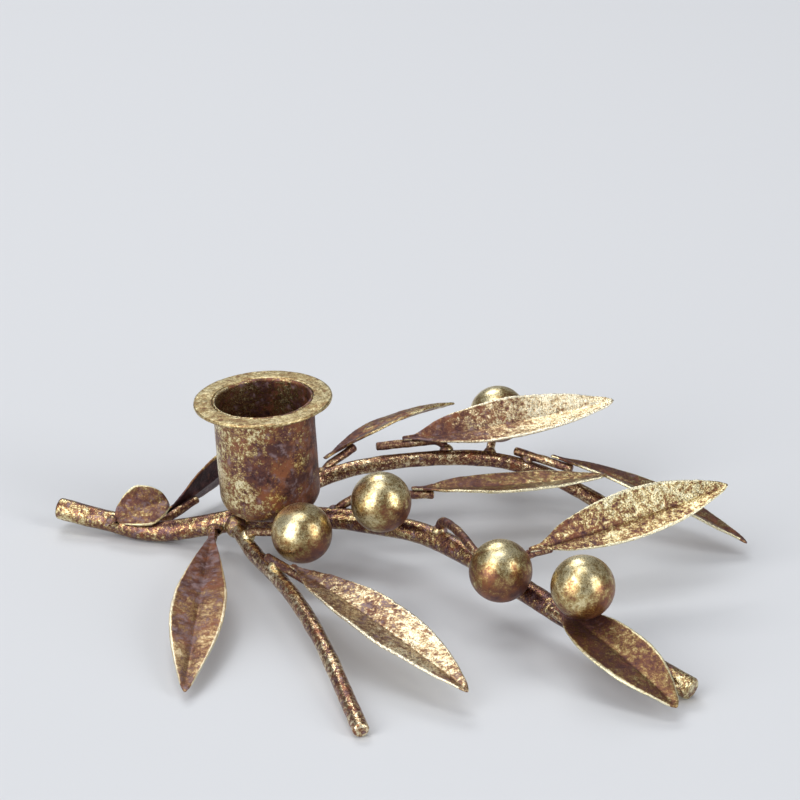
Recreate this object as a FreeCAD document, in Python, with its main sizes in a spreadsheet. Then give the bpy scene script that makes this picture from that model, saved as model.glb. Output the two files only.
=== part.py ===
# Olive-branch candle holder: welded iron rods, stamped leaves, ball berries and a drawn candle cup.
# Millimetres, +Z up. The model is laid out from the left end of the main branch and moved at the end,
# so that its origin is on the table under the middle of the whole piece.
import FreeCAD, Part
import math
import os

import Sketcher

from FreeCAD import Placement, Rotation, Vector

os.makedirs("parts", exist_ok=True)
doc = FreeCAD.newDocument("olive_branch_candle_holder")
sheet = doc.addObject("Spreadsheet::Sheet", "Sizes")

# Driving sizes, in millimetres and degrees.
SIZES = {
    # Rods
    "main_dia": 5.2,
    "rear_dia": 3.8,
    "twig_dia": 3.7,
    "wire_dia": 2.1,
    "rod_chamfer": 0.45,
    "wire_chamfer": 0.25,
    # Reach of the main branch along X and Y, and the height of its arch above its lowest point
    "main_span_x": 146.0,
    "main_span_y": 83.0,
    "main_arch": 8.4,
    # Rear branch, measured from its weld on the main branch
    "rear_span_x": 88.0,
    "rear_span_y": 22.2,
    "rear_arch": 13.6,
    # Front twig, measured from its weld on the main branch
    "twig_span_x": 32.0,
    "twig_span_y": 88.4,
    "twig_arch": 4.7,
    # Candle cup, bored for a household taper, and the ring round its rim
    "cup_bore_dia": 22.3,
    "cup_wall": 0.75,
    "cup_height": 28.5,
    "cup_corner": 5.0,
    "cup_rim_round": 0.25,
    "cup_lean": 3.0,
    "cup_seat": 0.3,
    "ring_dia": 32.6,
    "ring_thick": 0.9,
    "ring_edge_round": 0.25,
    # Sheet leaves
    "leaf_sheet": 0.7,
    "leaf_tab_width": 2.4,
    "leaf_tab_length": 3.0,
    # Ball berries on drilled sockets
    "berry_dia": 14.2,
    "socket_depth": 3.0,
    "socket_clearance": 0.05,
    # How far a leaf or a berry may stand off its branch: places below are shares of it
    "stem_reach": 10.0,
    # Gap between a sheet and the wire it is laid on, and overrun of every cut
    "seat": 0.05,
    "overrun": 2.0,
    # Weld beads
    "rod_bead_dia": 6.6,
    "wire_bead_dia": 3.4,
    "cup_bead_dia": 10.0,
    "cup_bead_height": 1.2,
}

# Leaves: parent branch, station along it, base offset from the station as shares of stem_reach,
# then length, width, sag of the bend (minus droops), fold, heading, rise and roll,
# and the wire's knee and free end as shares of stem_reach from the leaf's base.
LEAVES = {
    "left_stub_leaf": {
        "parent": "main_branch", "root_share": 0.086, "contact_share": 0.20,
        "length": 16.5, "width": 12.0, "sag": -1.2, "fold": 12.0, "heading": 17.0, "rise": 14.0, "roll": 33.0},
    "left_rear_leaf": {
        "parent": "main_branch", "root_share": 0.13, "base_shares": (0.46, 0.44, 0.20),
        "length": 42.0, "width": 12.0, "sag": 1.5, "fold": 12.0, "heading": 48.0, "rise": 18.0, "roll": -70.0,
        "wire_shares": (-0.20, 0.90)},
    "front_left_leaf": {
        "parent": "main_branch", "root_share": 0.233, "base_shares": (-0.03, -0.66, 0.03),
        "length": 66.0, "width": 12.8, "sag": -1.5, "fold": 10.0, "heading": -91.5, "rise": -4.0, "roll": -4.0,
        "wire_shares": (-0.10, 0.60)},
    "front_leaf": {
        "parent": "front_twig", "root_share": 0.30, "contact_share": -0.55,
        "length": 61.5, "width": 14.2, "sag": -1.0, "fold": 13.0, "heading": -51.5, "rise": -4.0, "roll": 0.0,
        "wire_shares": (-0.95, 0.60)},
    "right_front_leaf": {
        "parent": "main_branch", "root_share": 0.768, "base_shares": (0.13, -0.61, 0.20),
        "length": 40.0, "width": 14.0, "sag": -1.5, "fold": 10.0, "heading": -51.0, "rise": -11.0, "roll": 8.0,
        "wire_shares": (-0.10, 0.50)},
    "right_leaf": {
        "parent": "main_branch", "root_share": 0.670, "base_shares": (0.75, 0.34, 0.34),
        "length": 50.0, "width": 12.8, "sag": 1.5, "fold": 24.0, "heading": 18.0, "rise": 11.0, "roll": 33.0,
        "wire_shares": (-0.15, 0.60)},
    "middle_leaf": {
        "parent": "main_branch", "root_share": 0.385, "base_shares": (2.05, 0.31, 0.58),
        "length": 48.5, "width": 12.5, "sag": 1.0, "fold": 9.0, "heading": 9.5, "rise": 0.0, "roll": -5.0,
        "wire_shares": (-1.30, 0.55)},
    "rear_leaf": {
        "parent": "rear_branch", "root_share": 0.506, "base_shares": (-1.15, -0.03, 0.47),
        "length": 53.5, "width": 13.8, "sag": 1.5, "fold": 17.0, "heading": 12.0, "rise": 6.0, "roll": 20.0,
        "wire_shares": (1.00, -0.65)},
    "rear_left_leaf": {
        "parent": "rear_branch", "root_share": 0.19, "base_shares": (0.15, 0.33, 0.38),
        "length": 39.0, "width": 10.0, "sag": -2.0, "fold": 10.0, "heading": 32.0, "rise": 9.0, "roll": -20.0,
        "wire_shares": (-0.05, 0.85)},
    "rear_right_leaf": {
        "parent": "rear_branch", "root_share": 0.690, "contact_share": -0.60,
        "length": 52.0, "width": 12.0, "sag": -1.5, "fold": 10.0, "heading": -26.5, "rise": -13.5, "roll": -14.0,
        "wire_shares": (-0.95, 0.60)},
}

# Berries: parent branch, station of the stem's root, ball centre and the stem's bends as offsets
# from that station, in shares of stem_reach.
BERRIES = {
    "cup_berry": {
        "parent": "front_twig", "root_share": 0.100, "centre_shares": (1.38, -1.10, 0.77),
        "bend_shares": [(0.12, -0.12, 0.32)]},
    "middle_berry": {
        "parent": "main_branch", "root_share": 0.485, "centre_shares": (-0.28, -0.47, 0.87),
        "bend_shares": [(-0.02, -0.02, 0.24)]},
    "hook_berry": {
        "parent": "main_branch", "root_share": 0.560, "centre_shares": (1.33, -2.61, 0.55),
        "bend_shares": [(0.02, -0.08, 0.58), (0.30, -0.68, 0.70), (0.56, -1.45, 0.76), (0.76, -2.03, 0.74)]},
    "top_berry": {
        "parent": "main_branch", "root_share": 0.800, "centre_shares": (0.29, -0.74, 1.12),
        "bend_shares": [(0.05, -0.05, 0.55)]},
    "rear_berry": {
        "parent": "rear_branch", "root_share": 0.600, "centre_shares": (0.29, 1.54, 0.53),
        "bend_shares": []},
}

# Routes of the rods, as shares of their spans and of their arch above the table.
MAIN_ROUTE_SHARES = [
    (0.000, 0.000, 0.345), (0.076, 0.036, 0.167), (0.161, 0.087, -0.035), (0.238, 0.122, 0.333),
    (0.304, 0.129, 0.619), (0.361, 0.142, 0.714), (0.452, 0.161, 0.833), (0.541, 0.227, 0.940),
    (0.614, 0.303, 1.000), (0.691, 0.451, 0.940), (0.766, 0.612, 0.798), (0.809, 0.698, 0.679),
    (0.895, 0.843, 0.357), (1.000, 1.000, 0.000)]
REAR_ROUTE_SHARES = [
    (0.042, 0.410, 0.559), (0.117, 0.725, 0.669), (0.213, 0.793, 0.853), (0.338, 0.829, 0.963),
    (0.477, 0.887, 1.000), (0.616, 0.982, 0.890), (0.757, 1.000, 0.596), (0.894, 0.779, 0.228),
    (1.000, 0.441, 0.000)]
TWIG_ROUTE_SHARES = [
    (0.163, 0.146, 0.777), (0.428, 0.350, 0.989), (0.631, 0.549, 0.926), (0.753, 0.679, 0.670),
    (0.847, 0.803, 0.415), (1.000, 1.000, 0.000)]
CUP_SHARE = 0.312
TWIG_SHARE = 0.257

# How much longer a leaf's strip is than the leaf, before it is trimmed
STRIP_SHARE = 1.2
# How much of the shorter run a bend's arc takes at its corner
ARC_SHARE = 0.45
# Two places or sizes closer than this are the same one
NEARLY = 1e-4
FULL_TURN = 360.0

for leaf_name, leaf in LEAVES.items():
    for column in ("length", "width", "sag", "fold", "heading", "rise", "roll"):
        SIZES[leaf_name + "_" + column] = leaf[column]

for row, (alias, value) in enumerate(SIZES.items(), start=1):
    sheet.set("A" + str(row), alias)
    sheet.set("B" + str(row), str(value))
    sheet.setAlias("B" + str(row), alias)
doc.recompute()


def size(alias):
    """The sheet's value of one driving size."""
    return float(getattr(sheet, alias))


def shares_to_place(start, shares, span_x, span_y, base_z, arch):
    """Points of a route from its table of shares."""
    return [Vector(start.x + x * span_x, start.y + y * span_y, base_z + z * arch) for x, y, z in shares]


def rounded_path(points):
    """Straight runs joined by tangent arcs, each as large as its two runs allow, as one wire."""
    edges = []
    start = points[0]
    for before, corner, after in zip(points, points[1:], points[2:]):
        into = (corner - before).normalize()
        out = (after - corner).normalize()
        turn = math.acos(max(-1.0, min(1.0, into.dot(out))))
        if turn < NEARLY:
            continue
        shorter = min((corner - before).Length, (after - corner).Length)
        cut_back = ARC_SHARE * shorter
        radius = cut_back / math.tan(turn / 2)
        first = corner - into * cut_back
        last = corner + out * cut_back
        inward = (out - into).normalize()
        middle = corner + inward * (radius / math.cos(turn / 2) - radius)
        edges.append(Part.LineSegment(start, first).toShape())
        edges.append(Part.Arc(first, middle, last).toShape())
        start = last
    edges.append(Part.LineSegment(start, points[-1]).toShape())
    return Part.Wire(edges)


def point_at(wire, share):
    """Point and direction on a route, at a share of its length."""
    target = share * wire.Length
    for edge in wire.Edges:
        if target <= edge.Length:
            parameter = edge.getParameterByLength(target)
            return edge.valueAt(parameter), edge.tangentAt(parameter)
        target -= edge.Length
    last = wire.Edges[-1]
    return last.valueAt(last.LastParameter), last.tangentAt(last.LastParameter)


def swept_rod(name, points, dia_alias, chamfer_alias, chamfer_start):
    """A round rod swept along its bent path, its free ends chamfered; returns the solid and its route."""
    route = rounded_path(points)
    path = doc.addObject("Part::Feature", name + "_path")
    path.Shape = route
    section = doc.addObject("Part::Circle", name + "_section")
    section.setExpression("Radius", "Sizes." + dia_alias + " / 2")
    section.Placement = Placement(points[0], Rotation(Vector(0, 0, 1), points[1] - points[0]))
    rod = doc.addObject("Part::Sweep", name + "_rod")
    rod.Sections = [section]
    rod.Spine = (path, ["Edge" + str(i + 1) for i in range(len(route.Edges))])
    rod.Solid = True
    rod.Transition = "Right corner"
    doc.recompute()
    ends = [points[-1]] + ([points[0]] if chamfer_start else [])
    rims = []
    for number, edge in enumerate(rod.Shape.Edges, start=1):
        if isinstance(edge.Curve, Part.Circle) and any((edge.Curve.Center - end).Length < NEARLY for end in ends):
            rims.append((number, size(chamfer_alias), size(chamfer_alias)))
    chamfered = doc.addObject("Part::Chamfer", name + "_ends")
    chamfered.Base = rod
    chamfered.Edges = rims
    doc.recompute()
    return chamfered, route


def cut(name, base, tools):
    """The base with every tool taken out of it."""
    for number, tool in enumerate(tools):
        result = doc.addObject("Part::Cut", name + "_cut_" + str(number))
        result.Base = base
        result.Tool = tool
        base = result
    doc.recompute()
    return base


def axes_rotation(x_axis, z_hint):
    """The rotation that turns +X to x_axis and keeps +Z as near z_hint as it can."""
    return Rotation(x_axis, Vector(0, 0, 0), z_hint, "XZY")


NODES = {}


def node(name, feature):
    """Gives a finished piece its name and keeps it for the hand-over."""
    feature.Label = name
    NODES[name] = feature


# Rods
main_points = shares_to_place(
    Vector(0, 0, 0), [(x, -y, z) for x, y, z in MAIN_ROUTE_SHARES],
    size("main_span_x"), size("main_span_y"), size("main_dia") / 2, size("main_arch"))
main_rod, main_route = swept_rod("main", main_points, "main_dia", "rod_chamfer", True)
node("main_branch", main_rod)

rear_root = point_at(main_route, CUP_SHARE)[0]
rear_points = [rear_root] + shares_to_place(
    rear_root, REAR_ROUTE_SHARES, size("rear_span_x"), size("rear_span_y"), 0, size("rear_arch"))
for point in rear_points[1:]:
    point.z = point.z + size("rear_dia") / 2
rear_rod, rear_route = swept_rod("rear", rear_points, "rear_dia", "rod_chamfer", False)
node("rear_branch", cut("rear_branch", rear_rod, [main_rod]))

twig_root = point_at(main_route, TWIG_SHARE)[0]
twig_points = [twig_root] + shares_to_place(
    twig_root, [(x, -y, z) for x, y, z in TWIG_ROUTE_SHARES],
    size("twig_span_x"), size("twig_span_y"), 0, size("twig_arch"))
for point in twig_points[1:]:
    point.z = point.z + size("twig_dia") / 2
twig_rod, twig_route = swept_rod("twig", twig_points, "twig_dia", "rod_chamfer", False)
node("front_twig", cut("front_twig", twig_rod, [main_rod]))

ROUTES = {"main_branch": main_route, "rear_branch": rear_route, "front_twig": twig_route}
RODS = {"main_branch": main_rod, "rear_branch": rear_rod, "front_twig": twig_rod}
ROD_DIA = {"main_branch": "main_dia", "rear_branch": "rear_dia", "front_twig": "twig_dia"}


def body_plane(body, role):
    """One of the body's own origin planes."""
    for feature in body.Origin.OriginFeatures:
        if feature.Role == role:
            return feature


def sketch_on(body, role, name):
    """An empty sketch on an origin plane of the body."""
    sketch = body.newObject("Sketcher::SketchObject", name)
    sketch.AttachmentSupport = [(body_plane(body, role), "")]
    sketch.MapMode = "FlatFace"
    doc.recompute()
    return sketch


def bind(sketch, number, name, expression):
    """Names a constraint and ties it to the sheet."""
    sketch.renameConstraint(number, name)
    sketch.setExpression("Constraints." + name, expression)


def pin(sketch, geometry, end, name, place, formulas):
    """Ties a point's two coordinates to the sheet; a coordinate with no formula lies on its axis."""
    for kind, letter, value, formula in zip(("DistanceX", "DistanceY"), "xy", place, formulas):
        number = sketch.addConstraint(Sketcher.Constraint(kind, -1, 1, geometry, end, value))
        if formula:
            bind(sketch, number, name + "_" + letter, formula)


def outline(sketch, corners, curved=()):
    """A closed outline; corners are (name, place, formulas), and a side in curved is (radius, formula, centre)."""
    first = sketch.GeometryCount
    total = len(corners)
    curved = dict(curved)
    for i, (name, place, formulas) in enumerate(corners):
        after = corners[(i + 1) % total][1]
        if i in curved:
            radius, formula, centre = curved[i]
            circle = Part.Circle(Vector(centre[0], centre[1], 0), Vector(0, 0, 1), radius)
            begin = math.atan2(place[1] - centre[1], place[0] - centre[0])
            end = math.atan2(after[1] - centre[1], after[0] - centre[0])
            if end < begin:
                end += 2 * math.pi
            sketch.addGeometry(Part.ArcOfCircle(circle, begin, end), False)
        else:
            line = Part.LineSegment(Vector(place[0], place[1], 0), Vector(after[0], after[1], 0))
            sketch.addGeometry(line, False)
    for i in range(total):
        before = first + (i - 1) % total
        sketch.addConstraint(Sketcher.Constraint("Coincident", before, 2, first + i, 1))
    for i, (name, place, formulas) in enumerate(corners):
        pin(sketch, first + i, 1, name, place, formulas)
    for i, (radius, formula, centre) in curved.items():
        number = sketch.addConstraint(Sketcher.Constraint("Radius", first + i, radius))
        bind(sketch, number, "bow_" + str(i), formula)


def circles_at(shape, radius, height):
    """Names of the round edges of one radius at one height above the shape's base."""
    names = []
    for number, edge in enumerate(shape.Edges, start=1):
        if isinstance(edge.Curve, Part.Circle):
            same_size = abs(edge.Curve.Radius - radius) < NEARLY
            if same_size and abs(edge.Curve.Center.z - height) < NEARLY:
                names.append("Edge" + str(number))
    return names


def fillet(body, name, edges, expression):
    """A fillet whose radius is tied to the sheet."""
    base = body.Tip
    feature = body.newObject("PartDesign::Fillet", name)
    feature.Base = (base, edges)
    feature.setExpression("Radius", expression)
    doc.recompute()
    body.Tip = feature


def turned_body(name, corners):
    """A body turned about its Z axis from a closed outline of radii and heights."""
    body = doc.addObject("PartDesign::Body", name + "_body")
    sketch = sketch_on(body, "XZ_Plane", name + "_profile")
    outline(sketch, corners)
    doc.recompute()
    turn = body.newObject("PartDesign::Revolution", name + "_turn")
    turn.Profile = sketch
    turn.ReferenceAxis = (sketch, ["V_Axis"])
    turn.Angle = FULL_TURN
    body.Tip = turn
    doc.recompute()
    return body


# Candle cup and its ring
cup_outer = size("cup_bore_dia") / 2 + size("cup_wall")
cup_inner = size("cup_bore_dia") / 2
cup_top = size("cup_height")
OUTER = "Sizes.cup_bore_dia / 2 + Sizes.cup_wall"
INNER = "Sizes.cup_bore_dia / 2"
TOP = "Sizes.cup_height"
WALL = "Sizes.cup_wall"
cup = turned_body("candle_cup", [
    ("foot", (0, 0), ("", "")),
    ("heel", (cup_outer, 0), (OUTER, "")),
    ("brim", (cup_outer, cup_top), (OUTER, TOP)),
    ("mouth", (cup_inner, cup_top), (INNER, TOP)),
    ("floor", (cup_inner, size("cup_wall")), (INNER, WALL)),
    ("well", (0, size("cup_wall")), ("", WALL))])
fillet(cup, "cup_heel_round", circles_at(cup.Tip.Shape, cup_outer, 0), "Sizes.cup_corner")
fillet(cup, "cup_floor_round", circles_at(cup.Tip.Shape, cup_inner, size("cup_wall")),
       "Sizes.cup_corner - Sizes.cup_wall")
fillet(cup, "cup_mouth_round", circles_at(cup.Tip.Shape, cup_inner, cup_top), "Sizes.cup_rim_round")

ring_low = cup_top - size("ring_thick")
RING = "Sizes.ring_dia / 2"
UNDER = "Sizes.cup_height - Sizes.ring_thick"
ring = turned_body("drip_ring", [
    ("under_in", (cup_outer, ring_low), (OUTER, UNDER)),
    ("under_out", (size("ring_dia") / 2, ring_low), (RING, UNDER)),
    ("top_out", (size("ring_dia") / 2, cup_top), (RING, TOP)),
    ("top_in", (cup_outer, cup_top), (OUTER, TOP))])
ring_edges = circles_at(ring.Tip.Shape, size("ring_dia") / 2, ring_low)
ring_edges += circles_at(ring.Tip.Shape, size("ring_dia") / 2, cup_top)
fillet(ring, "ring_edge_round", ring_edges, "Sizes.ring_edge_round")

cup_station = rear_root
cup_turn = Rotation(Vector(0, 1, 0), -size("cup_lean"))
cup_foot = cup_station + cup_turn.multVec(Vector(0, 0, size("main_dia") / 2 + size("cup_seat")))
cup.Placement = Placement(cup_foot, cup_turn)
ring.Placement = Placement(cup_foot, cup_turn)
node("candle_cup", cup)
node("drip_ring", ring)

cup_block = doc.addObject("Part::Cylinder", "cup_block")
cup_block.setExpression("Radius", OUTER)
cup_block.setExpression("Height", TOP)
cup_block.Placement = Placement(cup_foot, cup_turn)
doc.recompute()


def bead(name, centre, along, dia_alias, tools):
    """A weld bead: a ball of metal round a joint, its poles inside the pieces that it joins, less those pieces."""
    ball = doc.addObject("Part::Sphere", name + "_ball")
    ball.setExpression("Radius", "Sizes." + dia_alias + " / 2")
    ball.Placement = Placement(centre, Rotation(Vector(0, 0, 1), along))
    return cut(name, ball, tools)


WELDS = {"main_branch": [], "rear_branch": [], "front_twig": []}

for name, rod, route in (("rear_branch", rear_rod, rear_route), ("front_twig", twig_rod, twig_route)):
    start, way = point_at(route, 0)
    toe = start + way * (size("main_dia") / 2)
    WELDS["main_branch"].append(bead(name + "_weld", toe, way, "rod_bead_dia", [rod, main_rod, cup_block]))

cup_bead = doc.addObject("Part::Ellipsoid", "cup_bead")
cup_bead.setExpression("Radius1", "Sizes.cup_bead_height")
cup_bead.setExpression("Radius2", "Sizes.cup_bead_dia / 2")
cup_bead.setExpression("Radius3", "Sizes.cup_bead_dia / 2")
cup_bead.Placement = Placement(cup_foot, cup_turn)
cup_weld = cut("cup_weld", cup_bead, [main_rod, rear_rod, cup_block] + WELDS["main_branch"])
node("cup_weld", cup_weld)


def leaf_body(name):
    """One leaf: a folded strip bent along its length, trimmed to the leaf's outline."""
    length = size(name + "_length")
    width = size(name + "_width")
    sag = size(name + "_sag")
    fold = math.radians(size(name + "_fold"))
    sheet_thick = size("leaf_sheet")
    tab = size("leaf_tab_width")
    tab_length = size("leaf_tab_length")
    overrun = size("overrun")
    bend = (length ** 2 / 4 + sag ** 2) / (2 * sag)
    half_turn = math.asin(length / 2 / bend)
    own = "Sizes." + name
    bend_formula = "((" + own + "_length^2 / 4 + " + own + "_sag^2) / (2 * " + own + "_sag))"

    body = doc.addObject("PartDesign::Body", name + "_body")
    strip = sketch_on(body, "YZ_Plane", name + "_strip")
    half = width / 2 + overrun
    edge_z = half * math.tan(fold)
    deep = sheet_thick / math.cos(fold)
    side = own + "_width / 2 + Sizes.overrun"
    low = "(" + side + ") * tan(" + own + "_fold)"
    skin = "Sizes.leaf_sheet / cos(" + own + "_fold)"
    outline(strip, [
        ("crease_low", (0, 0), ("", "")),
        ("right_low", (half, edge_z), (side, low)),
        ("right_high", (half, edge_z + deep), (side, low + " + " + skin)),
        ("crease_high", (0, deep), ("", skin)),
        ("left_high", (-half, edge_z + deep), ("-(" + side + ")", low + " + " + skin)),
        ("left_low", (-half, edge_z), ("-(" + side + ")", low))])
    axis = strip.addGeometry(Part.LineSegment(Vector(-half, bend, 0), Vector(half, bend, 0)), True)
    pin(strip, axis, 1, "axis_start", (-half, bend), ("-(" + side + ")", bend_formula))
    pin(strip, axis, 2, "axis_end", (half, bend), (side, bend_formula))
    doc.recompute()
    bent = body.newObject("PartDesign::Revolution", name + "_bend")
    bent.Profile = strip
    bent.ReferenceAxis = (strip, ["Axis0"])
    bent.Reversed = bend > 0
    bent.setExpression("Angle", str(STRIP_SHARE) + " * 2 * abs(asin(" + own + "_length / 2 / " + bend_formula + "))")
    body.Tip = bent
    doc.recompute()

    reach = length * math.cos(half_turn)
    reach_formula = "(" + own + "_length * cos(asin(" + own + "_length / 2 / " + bend_formula + ")))"
    bow = width / 2 - tab / 4
    bow_formula = "(" + own + "_width / 2 - Sizes.leaf_tab_width / 4)"
    chord = (reach - tab_length) ** 2 + (tab / 2) ** 2
    chord_formula = "((" + reach_formula + " - Sizes.leaf_tab_length)^2 + (Sizes.leaf_tab_width / 2)^2)"
    radius = (chord / 4 + bow ** 2) / (2 * bow)
    radius_formula = "(" + chord_formula + " / 4 + " + bow_formula + "^2) / (2 * " + bow_formula + ")"
    trim = sketch_on(body, "XY_Plane", name + "_outline")
    far = length * STRIP_SHARE + overrun
    far_formula = own + "_length * " + str(STRIP_SHARE) + " + Sizes.overrun"
    outline(trim, [
        ("frame_a", (-overrun, -half - overrun), ("-Sizes.overrun", "-(" + side + ") - Sizes.overrun")),
        ("frame_b", (far, -half - overrun),
         (far_formula, "-(" + side + ") - Sizes.overrun")),
        ("frame_c", (far, half + overrun), (far_formula, side + " + Sizes.overrun")),
        ("frame_d", (-overrun, half + overrun), ("-Sizes.overrun", side + " + Sizes.overrun"))])
    middle = Vector((tab_length + reach) / 2, tab / 4, 0)
    across = Vector(-tab / 2, -(reach - tab_length), 0).normalize()
    centre = middle + across * (radius - bow)
    base = -overrun / 2
    outline(trim, [
        ("tab_right", (base, -tab / 2), ("-Sizes.overrun / 2", "-Sizes.leaf_tab_width / 2")),
        ("shoulder_right", (tab_length, -tab / 2), ("Sizes.leaf_tab_length", "-Sizes.leaf_tab_width / 2")),
        ("tip", (reach, 0), (reach_formula, "")),
        ("shoulder_left", (tab_length, tab / 2), ("Sizes.leaf_tab_length", "Sizes.leaf_tab_width / 2")),
        ("tab_left", (base, tab / 2), ("-Sizes.overrun / 2", "Sizes.leaf_tab_width / 2"))],
        [(1, (radius, radius_formula, (centre.x, -centre.y))),
         (2, (radius, radius_formula, (centre.x, centre.y)))])
    doc.recompute()
    pocket = body.newObject("PartDesign::Pocket", name + "_trim")
    pocket.Profile = trim
    pocket.Type = "ThroughAll"
    pocket.SideType = "Symmetric"
    body.Tip = pocket
    doc.recompute()
    return body, bend, half_turn


def leaf_frame(name, half_turn):
    """The turn of a leaf's base: its chord's heading and rise, its roll, and the dip of its base."""
    heading = math.radians(size(name + "_heading"))
    rise = math.radians(size(name + "_rise"))
    chord = Vector(math.cos(rise) * math.cos(heading), math.cos(rise) * math.sin(heading), math.sin(rise))
    turn = axes_rotation(chord, Vector(0, 0, 1))
    turn = turn.multiply(Rotation(Vector(1, 0, 0), size(name + "_roll")))
    return turn.multiply(Rotation(Vector(0, 1, 0), math.degrees(half_turn)))


def make_leaf(name, leaf):
    """A leaf, the wire it is laid on, and the bead that welds the wire to its branch."""
    body, bend, half_turn = leaf_body(name)
    turn = leaf_frame(name, half_turn)
    ahead = turn.multVec(Vector(1, 0, 0))
    above = turn.multVec(Vector(0, 0, 1))
    reach = size("stem_reach")
    parent = leaf["parent"]
    wired = "wire_shares" in leaf
    wire = size("wire_dia") / 2 if wired else 0
    knee, free = [share * reach for share in leaf.get("wire_shares", (0, leaf.get("contact_share")))]
    droop = abs(bend) - math.sqrt(bend ** 2 - max(knee, free) ** 2) if bend < 0 else 0
    stand = wire + size("seat") + droop
    root, way = point_at(ROUTES[parent], leaf["root_share"])
    rod_radius = size(ROD_DIA[parent]) / 2
    laid = "contact_share" in leaf
    if laid:
        lift = way.cross(ahead).normalize()
        if lift.z < 0:
            lift = lift * -1
        crossing = root + lift * (rod_radius + wire + size("seat"))
        base = crossing - ahead * (leaf["contact_share"] * reach) + above * stand
        toe = root + lift * rod_radius
        outward = lift
    else:
        base = root + Vector(*leaf["base_shares"]) * reach
    body.Placement = Placement(base, turn)
    bends = [base + ahead * knee - above * stand, base + ahead * free - above * stand]
    if not laid:
        bends = [root] + bends
        outward = (bends[1] - root).normalize()
        toe = root + outward * rod_radius
    node(name, body)
    tools = [RODS[parent], body]
    if wired:
        wire_rod, route = swept_rod(name + "_wire", bends, "wire_dia", "wire_chamfer", laid)
        stem_name = name.replace("_leaf", "_leaf_wire")
        node(stem_name, cut(stem_name, wire_rod, [RODS[parent]]))
        tools.insert(0, wire_rod)
    WELDS[parent].append(bead(name + "_weld", toe, outward, "wire_bead_dia", tools))


for leaf_name, leaf in LEAVES.items():
    make_leaf(leaf_name, leaf)


def make_berry(name, berry):
    """A ball berry with a drilled socket, the wire stem that ends in it, and the stem's weld bead."""
    reach = size("stem_reach")
    parent = berry["parent"]
    root = point_at(ROUTES[parent], berry["root_share"])[0]
    centre = root + Vector(*berry["centre_shares"]) * reach
    bends = [root] + [root + Vector(*shares) * reach for shares in berry["bend_shares"]]
    inward = (centre - bends[-1]).normalize()
    radius = size("berry_dia") / 2
    end = centre - inward * (radius - size("socket_depth"))
    wire_rod, route = swept_rod(name + "_stem", bends + [end], "wire_dia", "wire_chamfer", False)
    stem = cut(name + "_stem", wire_rod, [RODS[parent]])
    ball = doc.addObject("Part::Sphere", name + "_ball")
    ball.setExpression("Radius", "Sizes.berry_dia / 2")
    socket = doc.addObject("Part::Cylinder", name + "_socket")
    socket.setExpression("Radius", "Sizes.wire_dia / 2 + Sizes.socket_clearance")
    socket.setExpression("Height", "Sizes.socket_depth + Sizes.overrun")
    socket.setExpression("Placement.Base.z", "-Sizes.berry_dia / 2 - Sizes.overrun")
    drilled = cut(name, ball, [socket])
    drilled.Placement = Placement(centre, Rotation(Vector(0, 0, 1), inward))
    doc.recompute()
    node(name, drilled)
    node(name + "_stem", stem)
    outward = (bends[1] - root if len(bends) > 1 else inward).normalize()
    toe = root + outward * (size(ROD_DIA[parent]) / 2)
    tools = [wire_rod, RODS[parent], drilled]
    WELDS[parent].append(bead(name + "_weld", toe, outward, "wire_bead_dia", tools))


for berry_name, berry in BERRIES.items():
    make_berry(berry_name, berry)

for parent, beads in WELDS.items():
    group = doc.addObject("Part::Compound", parent + "_bead_group")
    group.Links = beads
    node(parent + "_welds", group)
doc.recompute()

# Origin on the table, under the middle of the whole piece
whole = Part.Compound([feature.Shape for feature in NODES.values()]).optimalBoundingBox()
home = Vector(-whole.Center.x, -whole.Center.y, -whole.ZMin)
pieces = {}
for name, feature in NODES.items():
    feature.Label = name + "_made"
    piece = doc.addObject("Part::Compound", name + "_placed")
    piece.Links = [feature]
    piece.Placement = Placement(home, Rotation())
    piece.Label = name
    pieces[name] = piece
doc.recompute()

faults = [item.Label for item in doc.Objects if "Invalid" in item.State or "Error" in item.State]
for name, piece in pieces.items():
    if piece.Shape.isNull() or not piece.Shape.isValid() or not piece.Shape.Solids:
        faults.append(name)
if faults:
    raise RuntimeError("these pieces failed: " + ", ".join(faults))
for name, piece in pieces.items():
    piece.Shape.exportStep(os.path.join("parts", name + ".step"))
    box = piece.Shape.optimalBoundingBox()
    print(name, len(piece.Shape.Solids), round(piece.Shape.Volume, 1), round(box.ZMin, 2), round(box.ZMax, 2))
print("overall", round(whole.XLength, 1), round(whole.YLength, 1), round(whole.ZLength, 1))
cup_axis = cup_turn.multVec(Vector(0, 0, 1))
print("cup foot", cup_foot + home, "axis", cup_axis)
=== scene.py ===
import math

import bpy
import numpy as np
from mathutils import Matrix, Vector, kdtree, noise


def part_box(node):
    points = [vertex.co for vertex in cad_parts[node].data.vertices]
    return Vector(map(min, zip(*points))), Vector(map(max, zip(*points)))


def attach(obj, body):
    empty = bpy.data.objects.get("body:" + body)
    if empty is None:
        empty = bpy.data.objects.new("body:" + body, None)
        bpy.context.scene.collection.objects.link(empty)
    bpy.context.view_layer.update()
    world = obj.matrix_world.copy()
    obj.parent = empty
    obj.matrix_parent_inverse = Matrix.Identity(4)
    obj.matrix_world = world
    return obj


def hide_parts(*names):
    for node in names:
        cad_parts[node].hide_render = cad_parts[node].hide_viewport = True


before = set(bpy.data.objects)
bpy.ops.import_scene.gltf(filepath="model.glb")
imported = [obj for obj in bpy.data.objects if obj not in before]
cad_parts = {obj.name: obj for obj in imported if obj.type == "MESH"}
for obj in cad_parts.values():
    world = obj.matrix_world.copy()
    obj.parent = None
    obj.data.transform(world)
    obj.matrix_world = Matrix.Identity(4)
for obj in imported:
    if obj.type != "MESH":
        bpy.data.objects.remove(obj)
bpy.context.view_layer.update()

MM = 0.001

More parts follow.
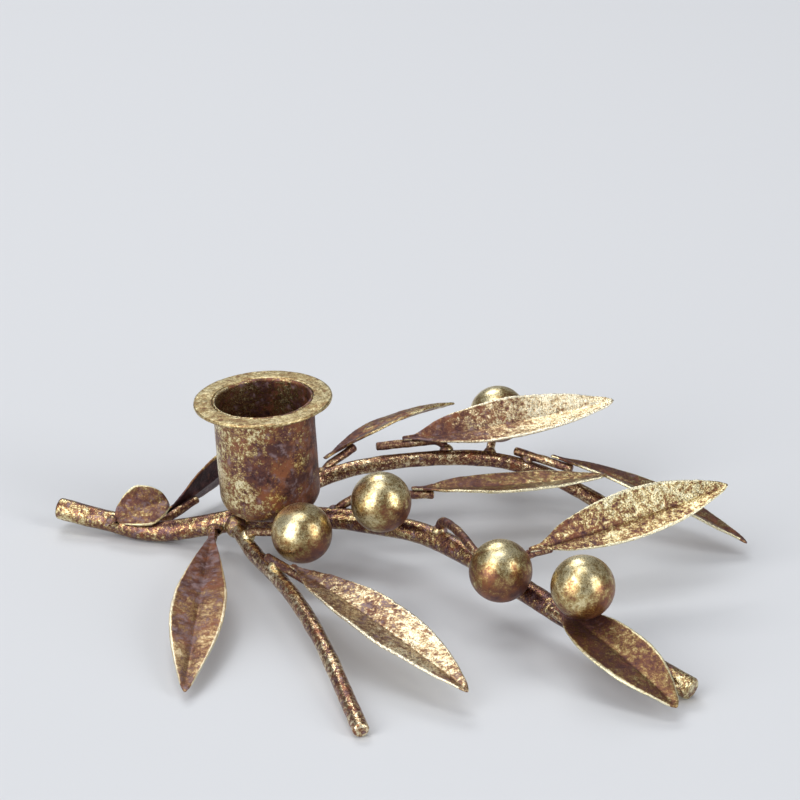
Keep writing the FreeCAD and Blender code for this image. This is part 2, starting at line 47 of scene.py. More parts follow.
# How far one step of a seed shifts the noise, in cells along X, Y and Z
SEED_STEPS = (7.31, 3.77, 5.13)


# Mesh work

def coordinates(mesh):
    """The mesh's points as an array."""
    flat = np.empty(len(mesh.vertices) * 3)
    mesh.vertices.foreach_get("co", flat)
    return flat.reshape(-1, 3)


def normals(mesh):
    """The points' normals as an array."""
    flat = np.empty(len(mesh.vertices) * 3)
    mesh.vertex_normals.foreach_get("vector", flat)
    return flat.reshape(-1, 3)


def place(mesh, points):
    """Moves the mesh's points."""
    mesh.vertices.foreach_set("co", points.ravel())
    mesh.update()


def noise_at(points, cells, seed):
    """Smooth noise from -1 to 1 at each point, with that many cells in a metre."""
    shift = Vector([seed * step for step in SEED_STEPS])
    return np.array([noise.noise(Vector(point) * cells + shift) for point in points])


def band_height(points, band, number):
    """The height of a band of lumps at each point; a number gives like pieces lumps of their own."""
    cells, tall, seed = band
    return tall * noise_at(points, cells, seed + number)


def skin_of(node, voxel, smooth):
    """A finely meshed copy of a CAD piece, its edges a little rounded, to stand for the piece."""
    piece = bpy.data.objects.new(node + "_skin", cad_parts[node].data.copy())
    bpy.context.scene.collection.objects.link(piece)
    remesh = piece.modifiers.new("remesh", "REMESH")
    remesh.mode = "VOXEL"
    remesh.voxel_size = voxel
    soften = piece.modifiers.new("soften", "SMOOTH")
    soften.factor = 0.5
    soften.iterations = smooth
    evaluated = piece.evaluated_get(bpy.context.evaluated_depsgraph_get())
    mesh = bpy.data.meshes.new_from_object(evaluated)
    piece.modifiers.clear()
    piece.data = mesh
    mesh.materials.clear()
    mesh.shade_smooth()
    return piece


def roughen(piece, bands, swell=0.0, number=0):
    """Moves the surface out by swell, and in and out by the bands of lumps."""
    mesh = piece.data
    points = coordinates(mesh)
    height = np.full(len(points), swell)
    for band in bands:
        height += band_height(points, band, number)
    place(mesh, points + normals(mesh) * height[:, None])


def ease(mesh, direction, rounds):
    """Evens the surface out along one direction: a round takes a point halfway to its neighbours' mean."""
    ends = np.empty(len(mesh.edges) * 2, dtype=np.int64)
    mesh.edges.foreach_get("vertices", ends)
    first, second = ends.reshape(-1, 2).T
    points = coordinates(mesh)
    neighbours = np.bincount(ends, minlength=len(points))
    start = points @ direction
    height = start.copy()
    for _ in range(rounds):
        total = np.bincount(first, height[second], len(points))
        total += np.bincount(second, height[first], len(points))
        height += (total / neighbours - height) / 2
    place(mesh, points + direction[None, :] * (height - start)[:, None])


def closeness(mesh, nodes, reach):
    """From 1 on the points that touch a corner of those CAD pieces to 0 on those further off than reach."""
    corners = np.concatenate([coordinates(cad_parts[node].data) for node in nodes])
    tree = kdtree.KDTree(len(corners))
    for number, corner in enumerate(corners):
        tree.insert(corner, number)
    tree.balance()
    gaps = np.array([tree.find(point)[2] for point in coordinates(mesh)])
    return np.clip(1 - gaps / reach, 0, 1)


def sink(piece, centre, reach, share):
    """Draws the points within reach of a centre towards their own middle, by a share of the way."""
    points = coordinates(piece.data)
    near = np.linalg.norm(points - centre, axis=1) < reach
    if near.any():
        middle = points[near].mean(axis=0)
        points[near] += (middle - points[near]) * share
        place(piece.data, points)


def store(mesh, name, values):
    """Keeps one number for each point, for the material to read."""
    attribute = mesh.attributes.new(name, "FLOAT", "POINT")
    attribute.data.foreach_set("value", values.astype(np.float32))


def hand_over(piece, node, material):
    """Dresses a finished piece and puts it in the place of its node."""
    piece.data.materials.append(material)
    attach(piece, "root")
    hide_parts(node)


# Materials

# Colours of the finish, and where each lies on the scale from bare, at 0, to fully gilded, at 1
BARE_COLOURS = (
    (0.00, (0.034, 0.015, 0.016)),
    (0.24, (0.098, 0.042, 0.044)),
)
WORN_TO_GILDED = BARE_COLOURS + (
    (0.40, (0.185, 0.080, 0.060)),
    (0.52, (0.290, 0.155, 0.074)),
    (0.63, (0.480, 0.355, 0.155)),
    (0.76, (0.840, 0.730, 0.430)),
    (1.00, (0.970, 0.900, 0.640)),
)
WORN_TO_ROSE = BARE_COLOURS + (
    (0.40, (0.190, 0.083, 0.064)),
    (0.52, (0.305, 0.161, 0.088)),
    (0.63, (0.500, 0.346, 0.178)),
    (0.76, (0.850, 0.712, 0.455)),
    (1.00, (0.975, 0.895, 0.680)),
)
RUST = (0.260, 0.086, 0.032)
DARK_RUST = (0.066, 0.022, 0.019)
LAVENDER = (0.270, 0.188, 0.198)

# Noises of the finish: cells in a metre, detail, roughness, and what is added to the material's seed
FINE = (2600, 3.0, 0.75, 0)
FLAKES = (900, 4.0, 0.70, 3)
PATCHES = (240, 4.0, 0.62, 5)
BROAD = (70, 2.0, 0.50, 9)
RUST_SPOTS = (330, 4.0, 0.62, 13)
GREY_SPOTS = (480, 4.0, 0.62, 17)
DENTS = (420, 3.0, 0.55, 31)
RUST_TONES = (160, 4.0, 0.65, 41)

# How far each noise moves the gilding where speckle and mottle are 1
FINE_WEIGHT = 0.85
FLAKES_WEIGHT = 1.25
PATCHES_WEIGHT = 1.15
BROAD_WEIGHT = 0.80

# Steps of the finish: where each begins and ends, and what it goes from and to
BARE_STEP = (0.40, 0.60, 1.0, 0.0)
METAL_STEP = (0.20, 0.55, 0.65, 1.0)
RUST_TONE_STEP = (0.40, 0.58, 0.0, 1.0)
FINE_GLOSS_STEP = (0.30, 0.70, -0.07, 0.09)

# Where the roughness begins and ends its way from dull to shiny
GLOSS_SPAN = (0.30, 0.70)

# Spots on the bare places: the noise's middle, how far the spots' share moves the step that makes them from
# there, the step's width, and how well the spots cover
NOISE_MIDDLE = 0.5
SPOT_SPREAD = 0.45
SPOT_EDGE = 0.18
SPOT_COVER = 0.85

# Depths of the bumps, and how strong the dents are beside the others
DENT_DEPTH = 0.24 * MM
FLAKE_DEPTH = 0.16 * MM
FINE_DEPTH = 0.07 * MM
DENT_STRENGTH = 0.6


class Paint:
    """A material's node tree, with short ways to add to it."""

    def __init__(self, name, seed):
        self.material = bpy.data.materials.new(name)
        self.material.use_nodes = True
        self.nodes = self.material.node_tree.nodes
        self.links = self.material.node_tree.links
        self.shader = self.nodes["Principled BSDF"]
        self.place = self.nodes.new("ShaderNodeTexCoord").outputs["Object"]
        self.seed = seed

    def feed(self, socket, value):
        """Links a node's output to a socket, or sets the socket's number."""
        if isinstance(value, bpy.types.NodeSocket):
            self.links.new(value, socket)
        else:
            socket.default_value = value

    def noise(self, pattern):
        """Noise from 0 to 1, in one of the finish's patterns."""
        cells, detail, rough, shift = pattern
        node = self.nodes.new("ShaderNodeTexNoise")
        node.noise_dimensions = "4D"
        self.links.new(self.place, node.inputs["Vector"])
        node.inputs["W"].default_value = self.seed + shift
        node.inputs["Scale"].default_value = cells
        node.inputs["Detail"].default_value = detail
        node.inputs["Roughness"].default_value = rough
        return node.outputs["Fac"]

    def math(self, kind, a, b):
        """One sum."""
        node = self.nodes.new("ShaderNodeMath")
        node.operation = kind
        self.feed(node.inputs[0], a)
        self.feed(node.inputs[1], b)
        return node.outputs[0]

    def step(self, measure, low, high, start, end):
        """A smooth step from start to end as measure goes from low to high."""
        node = self.nodes.new("ShaderNodeMapRange")
        node.interpolation_type = "SMOOTHSTEP"
        self.feed(node.inputs["Value"], measure)
        node.inputs["From Min"].default_value = low
        node.inputs["From Max"].default_value = high
        node.inputs["To Min"].default_value = start
        node.inputs["To Max"].default_value = end
        return node.outputs["Result"]

    def add_step(self, value, measure, low, high, start, end):
        """Adds a smooth step to a value."""
        return self.math("ADD", value, self.step(measure, low, high, start, end))

    def mix(self, share, a, b):
        """Colour a, turning to b as share goes from 0 to 1."""
        node = self.nodes.new("ShaderNodeMix")
        node.data_type = "RGBA"
        self.feed(node.inputs["Factor"], share)
        for socket, colour in ((node.inputs[6], a), (node.inputs[7], b)):
            if isinstance(colour, tuple):
                colour = (*colour, 1.0)
            self.feed(socket, colour)
        return node.outputs[2]

    def ramp(self, value, stops):
        """The colour at that value between the stops."""
        node = self.nodes.new("ShaderNodeValToRGB")
        self.feed(node.inputs[0], value)
        elements = node.color_ramp.elements
        while len(elements) < len(stops):
            elements.new(0.5)
        for element, (position, colour) in zip(elements, stops):
            element.position = position
            element.color = (*colour, 1.0)
        return node.outputs["Color"]

    def vary(self, value, noise, weight):
        """Adds noise to a value without moving its middle."""
        node = self.nodes.new("ShaderNodeMath")
        node.operation = "MULTIPLY_ADD"
        self.feed(node.inputs[0], noise)
        node.inputs[1].default_value = weight
        self.feed(node.inputs[2], self.math("SUBTRACT", value, weight / 2))
        return node.outputs[0]

    def attribute(self, name):
        """A number kept on the mesh."""
        node = self.nodes.new("ShaderNodeAttribute")
        node.attribute_name = name
        return node.outputs["Fac"]

    def part_of(self, vector, axis):
        """A vector's part along one axis."""
        split = self.nodes.new("ShaderNodeSeparateXYZ")
        self.links.new(vector, split.inputs[0])
        return split.outputs[axis]

    def upward(self):
        """From -1 on a face that looks down to 1 on one that looks up."""
        return self.part_of(self.nodes.new("ShaderNodeNewGeometry").outputs["Normal"], "Z")

    def bump(self, height, distance, strength, base=None):
        """The normal of a surface that height raises by up to distance, in metres, on top of a base bump."""
        node = self.nodes.new("ShaderNodeBump")
        node.inputs["Strength"].default_value = strength
        node.inputs["Distance"].default_value = distance
        self.links.new(height, node.inputs["Height"])
        if base:
            self.links.new(base, node.inputs["Normal"])
        return node.outputs["Normal"]


def spots(paint, bare, pattern, share):
    """Soft spots on the bare places that cover about that share of them."""
    low = NOISE_MIDDLE + (0.5 - share) * SPOT_SPREAD - SPOT_EDGE / 2
    cover = paint.step(paint.noise(pattern), low, low + SPOT_EDGE, 0.0, SPOT_COVER)
    return paint.math("MULTIPLY", cover, bare)


def gold_leaf(name, gilding, speckle, rusty, grain, seed, mottle=1.0, grey=0.0, top=0.0,
              shine=0.28, dull=0.46, oxide=0.45, gold=WORN_TO_GILDED, extra=None):
    """Worn gold leaf over rusty iron.

    gilding is the middle place on the scale from bare to gilded, speckle and mottle are how much it varies
    finely and broadly, and top is how much more gilded what looks up is, and how much less what looks down:
    partly rust underneath, and partly painted light on top and painted shade underneath. rusty and grey are
    the shares of the bare places that are red or grey, and oxide is how metallic they still are. shine and
    dull are the roughness of gilded and bare places, and grain is how strong the bumps are. gold is the scale
    of colours, and extra(paint, value) may change the gilding.
    """
    paint = Paint(name, seed)
    fine = paint.noise(FINE)
    flakes = paint.noise(FLAKES)
    value = paint.vary(gilding, fine, FINE_WEIGHT * speckle)
    value = paint.vary(value, flakes, FLAKES_WEIGHT * speckle)
    value = paint.vary(value, paint.noise(PATCHES), PATCHES_WEIGHT * mottle)
    value = paint.vary(value, paint.noise(BROAD), BROAD_WEIGHT * mottle)
    # What looks up is made more gilded and what looks down less: partly rust underneath, partly painted light
    # on top and painted shade underneath.
    if top:
        value = paint.math("ADD", value, paint.math("MULTIPLY", paint.upward(), top))
    if extra:
        value = extra(paint, value)

    bare = paint.step(value, *BARE_STEP)
    colour = paint.ramp(value, gold)
    metal = paint.step(value, *METAL_STEP)
    rust = paint.mix(paint.step(paint.noise(RUST_TONES), *RUST_TONE_STEP), DARK_RUST, RUST)
    for share, pattern, tint in ((rusty, RUST_SPOTS, rust), (grey, GREY_SPOTS, LAVENDER)):
        if share:
            cover = spots(paint, bare, pattern, share)
            colour = paint.mix(cover, colour, tint)
            metal = paint.math("MULTIPLY", metal, paint.step(cover, 0.0, 1.0, 1.0, oxide))
    paint.feed(paint.shader.inputs["Base Color"], colour)
    paint.feed(paint.shader.inputs["Metallic"], metal)

    roughness = paint.step(value, *GLOSS_SPAN, dull, shine)
    roughness = paint.add_step(roughness, fine, *FINE_GLOSS_STEP)
    paint.feed(paint.shader.inputs["Roughness"], roughness)

    dents = paint.bump(paint.noise(DENTS), DENT_DEPTH, DENT_STRENGTH * grain)
    leafing = paint.bump(flakes, FLAKE_DEPTH, grain, dents)
    paint.feed(paint.shader.inputs["Normal"], paint.bump(fine, FINE_DEPTH, grain, leafing))
    return paint.material


# Pieces

# Bands of lumps: noise cells in a metre, height and seed
ROD_BANDS = [(120.0, 0.16 * MM, 1), (300.0, 0.10 * MM, 2), (700.0, 0.05 * MM, 12)]
WIRE_BANDS = [(330.0, 0.12 * MM, 3), (700.0, 0.06 * MM, 4)]
WELD_BANDS = [(330.0, 0.34 * MM, 5), (900.0, 0.12 * MM, 6)]
CUP_BANDS = [(110.0, 0.12 * MM, 7), (330.0, 0.06 * MM, 8)]
RING_BANDS = [(90.0, 0.10 * MM, 9), (300.0, 0.04 * MM, 10)]
BERRY_BANDS = [(150.0, 0.05 * MM, 11)]
LEAF_BANDS = [(480.0, 0.05 * MM, 70)]
LEAF_RIPPLE = (95.0, 0.55 * MM, 30)
LEAF_WAVES = (260.0, 0.10 * MM, 50)

# The rods' finishes, in gold_leaf's own terms
ROD_LOOKS = {
    "main_branch": dict(gilding=0.44, speckle=1.4, mottle=0.6, rusty=0.35, grey=0.30, shine=0.19, dull=0.26,
                        seed=1),
    "rear_branch": dict(gilding=0.49, speckle=1.5, mottle=0.7, rusty=0.35, grey=0.20, shine=0.19, dull=0.26,
                        seed=2, gold=WORN_TO_ROSE),
    "front_twig": dict(gilding=0.53, speckle=2.0, mottle=0.5, rusty=0.55, grey=0.30, shine=0.18, dull=0.24,
                       seed=3, gold=WORN_TO_ROSE),
}

# Where a piece is more or less gilded than its middle: its side along X, how far in from there the change is
# whole, how far in it ends, and the change
ROD_ENDS = {
    "main_branch": (("left", 4.0 * MM, 14.0 * MM, 0.08), ("right", 2.0 * MM, 7.0 * MM, 0.15)),
    "rear_branch": (),
    "front_twig": (("right", 2.0 * MM, 9.0 * MM, 0.04),),
}
# Down the cup's left side: partly more gold, partly a painted highlight where the left lamp shines on it.
CUP_GOLD_AND_HIGHLIGHT_STRIPE = ("left", 5.0 * MM, 12.0 * MM, 0.27)

# How much more gilded the rods are round their welds, how far from them, and over which span of closeness
ROD_HALOS = {"main_branch": 0.06, "rear_branch": 0.06, "front_twig": 0.26}
HALO_REACH = 3.0 * MM
HALO_SPAN = (0.1, 0.9)

# The stretch of the front twig that counts as its root, and how the weld bead round the root is drawn in
TWIG_ROOT = 2.0 * MM
ROOT_BEAD = dict(reach=5.0 * MM, share=0.17)

# The berries' gilding, and the rust on their right, down to a clear stretch on their left
BERRY_GILDING = 0.61
DULLER_BERRIES = {"hook_berry": 0.55}
BERRY_RUST = -0.13
BERRY_RUST_WHOLE = 1.0 * MM
BERRY_CLEAR = 6.0 * MM
BERRY_SEED = 20


def gilding_near(node, ends, halo=0.0):
    """A change for gold_leaf to make, at a piece's ends and round its welds."""
    low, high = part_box(node)

    def change(paint, value):
        if halo:
            value = paint.add_step(value, paint.attribute("weld"), *HALO_SPAN, 0.0, halo)
        for side, whole, none, gain in ends:
            tip, inward = (low.x, 1) if side == "left" else (high.x, -1)
            along = paint.part_of(paint.place, "X")
            value = paint.add_step(value, along, tip + inward * whole, tip + inward * none, gain, 0.0)
        return value

    return change


def dress_rods():
    """The three bent rods: hammered and lumpy, with more gold at some ends and round their welds."""
    for node, look in ROD_LOOKS.items():
        change = gilding_near(node, ROD_ENDS[node], ROD_HALOS[node])
        material = gold_leaf(node + "_finish", grain=1.0, oxide=0.8, extra=change, **look)
        piece = skin_of(node, voxel=0.30 * MM, smooth=3)
        roughen(piece, ROD_BANDS)
        store(piece.data, "weld", closeness(piece.data, (node + "_welds", "main_branch_welds"), HALO_REACH))
        hand_over(piece, node, material)


def dress_wires():
    """The leaves' and berries' wires."""
    material = gold_leaf("wire_finish", gilding=0.46, speckle=1.5, mottle=0.8, rusty=0.20, grey=0.20,
                         grain=0.9, gold=WORN_TO_ROSE, seed=4)
    for node in sorted(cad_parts):
        if node.endswith(("_wire", "_stem")):
            piece = skin_of(node, voxel=0.19 * MM, smooth=2)
            roughen(piece, WIRE_BANDS)
            hand_over(piece, node, material)


def dress_welds():
    """The weld beads, swollen a little into what they join: greyish, and bright on the front twig."""
    plain = gold_leaf("weld_finish", gilding=0.46, speckle=1.3, mottle=0.9, rusty=0.2, grey=0.50, grain=1.2,
                      seed=5)
    bright = gold_leaf("bright_weld_finish", gilding=0.85, speckle=1.2, rusty=0.1, grey=0.3, grain=1.2,
                       seed=8)
    twig = coordinates(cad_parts["front_twig"].data)
    root = twig[twig[:, 1] > twig[:, 1].max() - TWIG_ROOT].mean(axis=0)
    for node in sorted(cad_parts):
        if node.endswith(("_welds", "_weld")):
            piece = skin_of(node, voxel=0.17 * MM, smooth=9)
            sink(piece, root, **ROOT_BEAD)
            roughen(piece, WELD_BANDS, swell=0.04 * MM)
            hand_over(piece, node, bright if node == "front_twig_welds" else plain)


def dress_cup():
    """The drawn cup, with more gold and a painted highlight down its left side, and its ring."""
    piece = skin_of("candle_cup", voxel=0.30 * MM, smooth=2)
    roughen(piece, CUP_BANDS)
    hand_over(piece, "candle_cup", gold_leaf(
        "cup_finish", gilding=0.31, speckle=1.35, mottle=1.15, rusty=0.55, grey=0.28, grain=0.9, dull=0.40,
        seed=6, extra=gilding_near("candle_cup", [CUP_GOLD_AND_HIGHLIGHT_STRIPE])))
    piece = skin_of("drip_ring", voxel=0.22 * MM, smooth=2)
    roughen(piece, RING_BANDS)
    hand_over(piece, "drip_ring", gold_leaf(
        "ring_finish", gilding=0.66, speckle=0.7, mottle=0.4, rusty=0.4, grain=0.7, shine=0.32, seed=7))


def dress_berries():
    """The ball berries: bright gold, worn to rust on the right, darker underneath by rust and painted shade,
    and painted lighter on top.
    """
    berries = sorted(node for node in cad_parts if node.endswith("_berry"))
    for number, node in enumerate(berries):
        low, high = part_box(node)
        rust = ("right", BERRY_RUST_WHOLE, high.x - low.x - BERRY_CLEAR, BERRY_RUST)
        # top paints the berries' upper side lighter and their underside darker: partly rust, partly painted
        # shade underneath.
        material = gold_leaf(
            node + "_finish", gilding=DULLER_BERRIES.get(node, BERRY_GILDING), speckle=0.55, mottle=0.60,
            rusty=0.5, grain=0.35, top=0.17, shine=0.29, dull=0.40, seed=BERRY_SEED + number,
            extra=gilding_near(node, [rust]))
        piece = skin_of(node, voxel=0.26 * MM, smooth=3)
        roughen(piece, BERRY_BANDS, number=number)
        hand_over(piece, node, material)


# Leaves

# A leaf's gilding in its middle, and what its tip, base, edge and crease add to it; on the front and rear
# leaves the tip's gain is partly a painted highlight, and the left rear leaf's low gilding is painted shade.
# reach is the share of its length that the leaf is drawn out by, and the rest is for gold_leaf. What a leaf
# doesn't say is as on most.
MOST_LEAVES = dict(speckle=0.9, mottle=0.65, grain=1.2, shine=0.27, dull=0.40, edge=0.45, crease=-0.03,
                   reach=0.0)
LEAF_LOOKS = {
    "left_stub_leaf": dict(gilding=0.46, rusty=0.2, grey=0.4, tip=0.06, base=-0.12, shine=0.36, dull=0.48),
    # left_rear_leaf's very low gilding colours it near black: painted shade on its underside.
    "left_rear_leaf": dict(gilding=0.12, speckle=0.6, rusty=0.3, tip=0.00, base=-0.05),
    "front_left_leaf": dict(gilding=0.36, speckle=0.60, mottle=0.75, rusty=0.60, grey=0.45, grain=0.9,
                            tip=0.22, base=-0.03, shine=0.42, dull=0.52, reach=0.032, gold=WORN_TO_ROSE),
    # front_leaf's tip gain is partly more gold, partly a painted highlight where the lamps catch its tip.
    "front_leaf": dict(gilding=0.55, speckle=1.6, rusty=0.4, grey=0.45, tip=0.19, base=-0.08, reach=0.048,
                       gold=WORN_TO_ROSE),
    "right_front_leaf": dict(gilding=0.48, speckle=0.8, rusty=0.3, grey=0.15, tip=0.06, base=-0.12,
                             crease=0.0, shine=0.34, dull=0.48),
    "right_leaf": dict(gilding=0.60, speckle=1.4, rusty=0.4, grey=0.1, tip=0.10, base=-0.10, crease=-0.10,
                       reach=0.015),
    "middle_leaf": dict(gilding=0.48, rusty=0.3, grey=0.1, tip=0.06, base=-0.04),
    # rear_leaf's large tip gain is partly more gold, partly a painted highlight where the lamps catch its
    # tip.
    "rear_leaf": dict(gilding=0.54, speckle=1.4, rusty=0.5, grey=0.3, tip=0.34, base=-0.16, crease=-0.06,
                      reach=0.020, gold=WORN_TO_ROSE),
    "rear_left_leaf": dict(gilding=0.46, rusty=0.3, grey=0.25, tip=0.06, base=-0.06, edge=0.12),
    "rear_right_leaf": dict(gilding=0.46, rusty=0.4, grey=0.2, tip=0.08, base=-0.05, reach=0.030),
}
NOT_FOR_GOLD_LEAF = ("tip", "base", "edge", "crease", "reach")
LEAF_SEED = 40

# Where the gilding changes: shares of the way to the tip, to the edge and into the crease
TIP_SPAN = (0.10, 0.85)
EDGE_SPAN = (0.86, 0.95)
CREASE_SPAN = (0.0, 1.0)

# Necks and tips: places along the leaf, as shares of its length, and shares of the CAD width there
MOST_NECKS = ((0.0, 0.06, 0.16), (0.50, 0.72, 1.0))
NECKS = {
    "left_stub_leaf": ((0.0, 0.12, 0.30, 0.62), (0.70, 0.62, 0.70, 1.0)),
    "front_left_leaf": ((0.0, 0.06, 0.15, 0.27, 0.44, 0.60), (0.50, 0.60, 0.65, 0.74, 0.93, 1.0)),
}
BLUNT_TIP = ((0.90, 0.95, 0.98, 1.0), (1.0, 1.07, 1.22, 1.6))

# Where along the leaf its tip starts, and the share by which what lies beyond is drawn back
TIP_START = 0.95
TIP_DRAWN_BACK = 0.3

# The pressed blade: where it begins, and the stretches over which its hollow opens and closes, as shares of
# the leaf's length, and its crease
BLADE_START = 0.06
BLADE_OPENING = 0.12
BLADE_CLOSING = 0.10
CREASE_HALF_WIDTH = 0.75 * MM
CREASE_DEPTH = 0.22 * MM

# How a leaf is measured: in how many slices, how wide one counts at least, and how wide one is whose edge
# counts in full. The heights of the outer and inner points, by percent, tell which side is hollow.
SLICES = 61
LEAST_HALF_WIDTH = 0.3 * MM
EDGED_HALF_WIDTH = 1.2 * MM
OUTER_PERCENT = 80
INNER_PERCENT = 30


class LeafFrame:
    """A leaf's own axes, found from its mesh: from base to tip, across it, and out of its hollow side."""

    def __init__(self, points, by_base):
        middle = points.mean(axis=0)
        spread = np.linalg.eigh(np.cov((points - middle).T))[1]
        self.ahead, self.across, self.above = spread[:, 2], spread[:, 1], spread[:, 0]
        reach = (points - middle) @ self.ahead
        ends = [middle + self.ahead * reach.min(), middle + self.ahead * reach.max()]
        if np.linalg.norm(ends[1] - by_base) < np.linalg.norm(ends[0] - by_base):
            self.ahead = -self.ahead
            ends.reverse()
        self.base, self.tip = ends
        self.length = np.linalg.norm(self.tip - self.base)
        aside = np.abs((points - middle) @ self.across)
        height = (points - middle) @ self.above
        outer = height[aside > np.percentile(aside, OUTER_PERCENT)].mean()
        inner = height[aside < np.percentile(aside, INNER_PERCENT)].mean()
        if outer < inner:
            self.above = -self.above

    def shares(self, points):
        """Each point's share of the way to the tip and of the half width there, and that half width."""
        along = np.clip((points - self.base) @ self.ahead / self.length, 0, 1)
        aside = (points - self.base) @ self.across
        steps = np.linspace(0, 1, SLICES)
        slice_of = np.digitize(along, steps) - 1
        low = np.zeros(SLICES)
        high = np.zeros(SLICES)
        for number in range(SLICES):
            inside = aside[slice_of == number]
            if len(inside):
                low[number] = inside.min()
                high[number] = inside.max()
        middle = np.interp(along, steps, (low + high) / 2)
        half = np.maximum(np.interp(along, steps, (high - low) / 2), LEAST_HALF_WIDTH)
        return along, (aside - middle) / half, half


def near_base(node):
    """A point nearer a leaf's base than its tip: its wire's middle or, without a wire, a branch corner."""
    if node + "_wire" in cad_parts:
        low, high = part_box(node + "_wire")
        return np.array((low + high) / 2)
    return np.array(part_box("main_branch")[0])


def shape_leaf(piece, node, look, number):
    """Gives a leaf its crease, ripples, neck, blunt tip and length, and keeps where its points lie on it."""
    mesh = piece.data
    axes = LeafFrame(coordinates(mesh), near_base(node))
    ease(mesh, axes.above, rounds=8)
    points = coordinates(mesh)
    along, aside, half = axes.shares(points)
    opening = np.clip((along - BLADE_START) / BLADE_OPENING, 0, 1)
    closing = np.clip((1 - along) / BLADE_CLOSING, 0, 1)
    crease = np.exp(-(aside * half / CREASE_HALF_WIDTH) ** 2) * opening * closing
    ripple = band_height(points, LEAF_RIPPLE, number) * np.abs(aside) * opening * closing
    lift = ripple + band_height(points, LEAF_WAVES, number) - CREASE_DEPTH * crease
    narrowing = 1 - np.interp(along, *NECKS.get(node, MOST_NECKS)) * np.interp(along, *BLUNT_TIP)
    longer = look["reach"] * along - TIP_DRAWN_BACK * np.maximum(along - TIP_START, 0)
    points = points + axes.above[None, :] * lift[:, None]
    points = points - axes.across[None, :] * (aside * half * narrowing)[:, None]
    points = points + axes.ahead[None, :] * (axes.length * longer)[:, None]
    place(mesh, points)
    roughen(piece, LEAF_BANDS, number=number)
    store(mesh, "along", along)
    store(mesh, "edge", np.abs(aside) * np.clip(half / EDGED_HALF_WIDTH, 0, 1))
    store(mesh, "crease", crease)


def leaf_finish(node, look, seed):
    """A leaf's gold leaf: more of it along the edges, more or less at the tip, base and crease, and painted
    highlight at some tips.
    """
    def wear(paint, value):
        value = paint.add_step(value, paint.attribute("along"), *TIP_SPAN, look["base"], look["tip"])
        value = paint.add_step(value, paint.attribute("edge"), *EDGE_SPAN, 0.0, look["edge"])
        return paint.add_step(value, paint.attribute("crease"), *CREASE_SPAN, 0.0, look["crease"])

    options = {key: value for key, value in look.items() if key not in NOT_FOR_GOLD_LEAF}
    return gold_leaf(node + "_finish", seed=seed, extra=wear, **options)


def dress_leaves():
    """The pressed sheet leaves."""
    for number, node in enumerate(LEAF_LOOKS):
        look = {**MOST_LEAVES, **LEAF_LOOKS[node]}
        piece = skin_of(node, voxel=0.21 * MM, smooth=2)
        shape_leaf(piece, node, look, number)
        hand_over(piece, node, leaf_finish(node, look, LEAF_SEED + number))


# Stage

FLOOR_HALF = 4.0
FLOOR_COLOUR = (0.72, 0.74, 0.77)
WORLD_COLOUR = (0.26, 0.26, 0.27)
LAMP_ABOVE_FLOOR = 0.01

# Where the two lamps above are, and where the top one's back points
TOP_LAMP = Vector((-0.32, 0.04, 1.90))
TOP_LAMP_BACK = Vector((-0.10, 0.0, 1.0))
REAR_LAMP = Vector((-0.35, 1.15, 1.35))

# The photograph's camera: its place from the middle of the drip ring, how far it looks down, and its lens and
# sensor in millimetres
CAMERA_FROM_RING = Vector((0.0321, -0.5575, 0.2434))
CAMERA_PITCH = math.radians(23.6)
CAMERA_LENS = 117.0
CAMERA_SENSOR = 36.0


def plain_material(name, colour, rough, specular):
    """A plain matt material for the floor."""
    material = bpy.data.materials.new(name)
    material.use_nodes = True
    shader = material.node_tree.nodes["Principled BSDF"]
    shader.inputs["Base Color"].default_value = (*colour, 1.0)
    shader.inputs["Roughness"].default_value = rough
    shader.inputs["Specular IOR Level"].default_value = specular
    return material


def panel(name, middle, back, width, height, power):
    """A rectangular lamp with its middle at a place and its back to a direction."""
    lamp = bpy.data.lights.new(name, "AREA")
    lamp.shape = "RECTANGLE"
    lamp.size = width
    lamp.size_y = height
    lamp.energy = power
    light = bpy.data.objects.new(name, lamp)
    bpy.context.scene.collection.objects.link(light)
    light.location = middle
    light.rotation_euler = back.to_track_quat("Z", "Y").to_euler()


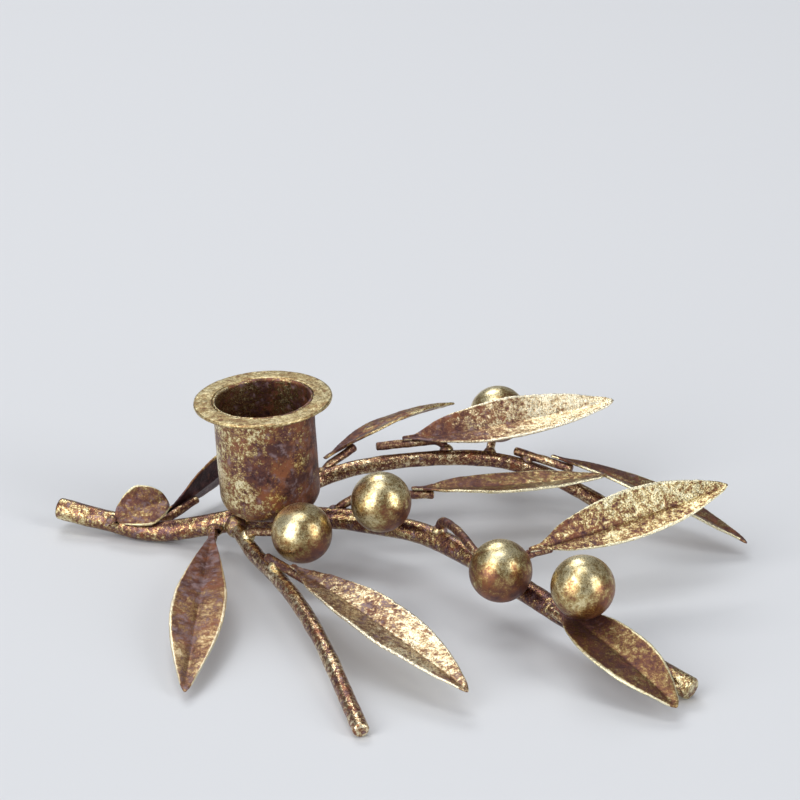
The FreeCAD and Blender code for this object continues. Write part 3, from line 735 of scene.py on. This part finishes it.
def softbox(name, heading, distance, width, height, power):
    """A soft lamp that stands on the floor and faces the object; its heading is in degrees from +X."""
    toward = Vector((math.cos(math.radians(heading)), math.sin(math.radians(heading)), 0.0))
    middle = toward * distance + Vector((0.0, 0.0, height / 2 + LAMP_ABOVE_FLOOR))
    panel(name, middle, toward, width, height, power)


def build_floor():
    """A pale floor."""
    sides = ((-1, -1), (1, -1), (1, 1), (-1, 1))
    mesh = bpy.data.meshes.new("floor")
    mesh.from_pydata([(FLOOR_HALF * x, FLOOR_HALF * y, 0) for x, y in sides], [], [(0, 1, 2, 3)])
    floor = bpy.data.objects.new("floor", mesh)
    bpy.context.scene.collection.objects.link(floor)
    mesh.materials.append(plain_material("floor_paint", FLOOR_COLOUR, rough=0.9, specular=0.2))


def build_light():
    """Soft studio light: two tall boxes at the sides, two panels above, and a dim grey world."""
    softbox("left_softbox", heading=223.0, distance=2.30, width=1.62, height=4.06, power=76.9)
    panel("top_softbox", TOP_LAMP, TOP_LAMP_BACK, width=0.60, height=1.20, power=6.5)
    panel("rear_softbox", REAR_LAMP, REAR_LAMP, width=0.80, height=0.60, power=7.0)
    softbox("right_softbox", heading=326.0, distance=2.30, width=0.70, height=2.44, power=29.3)
    world = bpy.data.worlds.new("studio")
    bpy.context.scene.world = world
    world.use_nodes = True
    world.node_tree.nodes["Background"].inputs["Color"].default_value = (*WORLD_COLOUR, 1.0)


def build_camera():
    """The photograph's camera."""
    ring_low, ring_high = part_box("drip_ring")
    data = bpy.data.cameras.new("photo_camera")
    data.lens = CAMERA_LENS
    data.sensor_width = CAMERA_SENSOR
    data.clip_start = 0.01
    data.clip_end = 20.0
    camera = bpy.data.objects.new("photo_camera", data)
    bpy.context.scene.collection.objects.link(camera)
    camera.location = (ring_low + ring_high) / 2 + CAMERA_FROM_RING
    camera.rotation_euler = (math.pi / 2 - CAMERA_PITCH, 0.0, 0.0)
    bpy.context.scene.camera = camera
    bpy.context.scene.view_settings.view_transform = "Standard"


build_floor()
build_light()
build_camera()
dress_rods()
dress_wires()
dress_welds()
dress_cup()
dress_berries()
dress_leaves()

bpy.context.view_layer.update()
